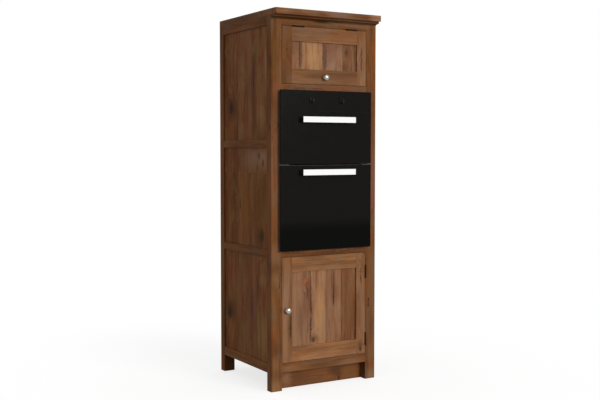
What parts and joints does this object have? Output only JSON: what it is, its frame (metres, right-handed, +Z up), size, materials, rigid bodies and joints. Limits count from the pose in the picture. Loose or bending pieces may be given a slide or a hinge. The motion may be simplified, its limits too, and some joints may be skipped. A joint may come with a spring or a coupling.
{
  "type": "tall oven housing unit",
  "caption": "Tall framed wooden housing cabinet with a built-in double oven, a lift-up locker flap above and a hinged cupboard door below, on post feet.",
  "frame": {"origin": "on the floor under the middle of the overall outline, handles and top board included", "axes": "+Z up, the front with the doors faces -Y, +X to the right as seen from the front"},
  "size_m": [0.69, 0.692, 2.1],
  "materials": {
    "carcass_wood": "waxed, satin",
    "panel_wood": "waxed, satin",
    "leaf_wood": "waxed, satin",
    "board_wood": "matt",
    "black_glass": "gloss black",
    "inner_glass": "clear, slightly tinted",
    "black_frame": "black, satin",
    "black_plastic": "satin black",
    "knob_black": "satin black",
    "bright_bar": "mirror bright",
    "bright_knob": "polished",
    "hinge_metal": "aged",
    "zinc_plate": "galvanised",
    "grey_sheet": "grey, satin",
    "enamel": "enamel, gloss",
    "mineral_wool": "matt",
    "seal_rubber": "matt",
    "rack_wire": "bright wire",
    "heater_tube": "dull grey",
    "lamp_lens": "clear",
    "screw_steel": "bright"
  },
  "bodies": {
    "housing": {"front_post_left": "carcass_wood", "front_post_right": "carcass_wood", "back_posts": "carcass_wood", "front_rails": "carcass_wood", "carcass_rails": "carcass_wood", "side_panels": "panel_wood", "back_panels": "board_wood", "top_board": "carcass_wood", "cove_moulding": "carcass_wood", "plinth_board": "carcass_wood", "locker_floor": "board_wood", "oven_deck": "board_wood", "cupboard_floor": "board_wood", "floor_cleats": "board_wood", "cupboard_shelf": "board_wood", "shelf_pins": "screw_steel", "frame_hinge_leaves": "hinge_metal", "catches_and_guide": "zinc_plate", "oven_casing": "zinc_plate", "oven_front_mask": "grey_sheet", "top_cavity": "enamel", "main_cavity": "enamel", "oven_insulation": "mineral_wool", "cavity_seals": "seal_rubber", "control_glass": "black_glass", "control_housing": "black_plastic", "rotary_switches": "black_plastic", "rack_guides": "rack_wire", "heating_elements": "heater_tube", "fan_cover": "enamel", "fan_motor": "zinc_plate", "oven_lamps": "lamp_lens", "oven_hinges": "zinc_plate", "oven_screws": "screw_steel", "terminal_box": "black_plastic"},
    "flap": {"flap_stiles": "leaf_wood", "flap_rails": "leaf_wood", "flap_panel": "leaf_wood", "flap_knob": "bright_knob", "flap_fittings": "hinge_metal", "quadrant_stay": "hinge_metal"},
    "cupboard_door": {"door_stiles": "leaf_wood", "door_rails": "leaf_wood", "door_panel": "leaf_wood", "door_knob": "bright_knob", "door_fittings": "hinge_metal"},
    "function_knob": {"control_knob_left": "knob_black"},
    "temperature_knob": {"control_knob_right": "knob_black"},
    "top_oven_door": {"top_door_glass": "black_glass", "top_door_frame": "black_frame", "top_door_inner_glass": "inner_glass", "top_door_handle": "bright_bar"},
    "main_oven_door": {"main_door_glass": "black_glass", "main_door_frame": "black_frame", "main_door_inner_glass": "inner_glass", "main_door_handle": "bright_bar"},
    "top_rack": {"top_rack": "rack_wire"},
    "main_rack": {"main_rack": "rack_wire"},
    "baking_tray": {"baking_tray": "enamel"},
    "fan": {"fan": "zinc_plate"}
  },
  "joints": [
    {"name": "flap_lift", "type": "hinge", "parent": "housing", "child": "flap", "pos_m": [0, -0.2942, 2.014], "axis": [-1, 0, 0], "range_deg": [0, 90]},
    {"name": "cupboard_door_swing", "type": "hinge", "parent": "housing", "child": "cupboard_door", "pos_m": [0.277, -0.2942, 0.448], "axis": [0, 0, 1], "range_deg": [0, 170]},
    {"name": "top_oven_door_drop", "type": "hinge", "parent": "housing", "child": "top_oven_door", "pos_m": [0, -0.304, 1.266], "axis": [1, 0, 0], "range_deg": [0, 90]},
    {"name": "main_oven_door_drop", "type": "hinge", "parent": "housing", "child": "main_oven_door", "pos_m": [0, -0.304, 0.786], "axis": [1, 0, 0], "range_deg": [0, 90]},
    {"name": "top_rack_slide", "type": "slide", "parent": "housing", "child": "top_rack", "axis": [0, -1, 0], "range_m": [0, 0.24]},
    {"name": "main_rack_slide", "type": "slide", "parent": "housing", "child": "main_rack", "axis": [0, -1, 0], "range_m": [0, 0.25]},
    {"name": "baking_tray_slide", "type": "slide", "parent": "housing", "child": "baking_tray", "axis": [0, -1, 0], "range_m": [0, 0.18]},
    {"name": "function_knob_turn", "type": "hinge", "parent": "housing", "child": "function_knob", "pos_m": [-0.0985, -0.312, 1.61], "axis": [0, 1, 0], "continuous": true},
    {"name": "temperature_knob_turn", "type": "hinge", "parent": "housing", "child": "temperature_knob", "pos_m": [0.0985, -0.312, 1.61], "axis": [0, 1, 0], "range_deg": [0, 270]},
    {"name": "fan_spin", "type": "hinge", "parent": "housing", "child": "fan", "pos_m": [0, 0.12, 1.015], "axis": [0, 1, 0], "continuous": true}
  ],
  "couplings": [
    {"joint": "top_rack_slide", "follows": "top_oven_door_drop", "m_per_rad": 0.1527},
    {"joint": "main_rack_slide", "follows": "main_oven_door_drop", "m_per_rad": 0.159},
    {"joint": "baking_tray_slide", "follows": "main_oven_door_drop", "m_per_rad": 0.1145}
  ]
}
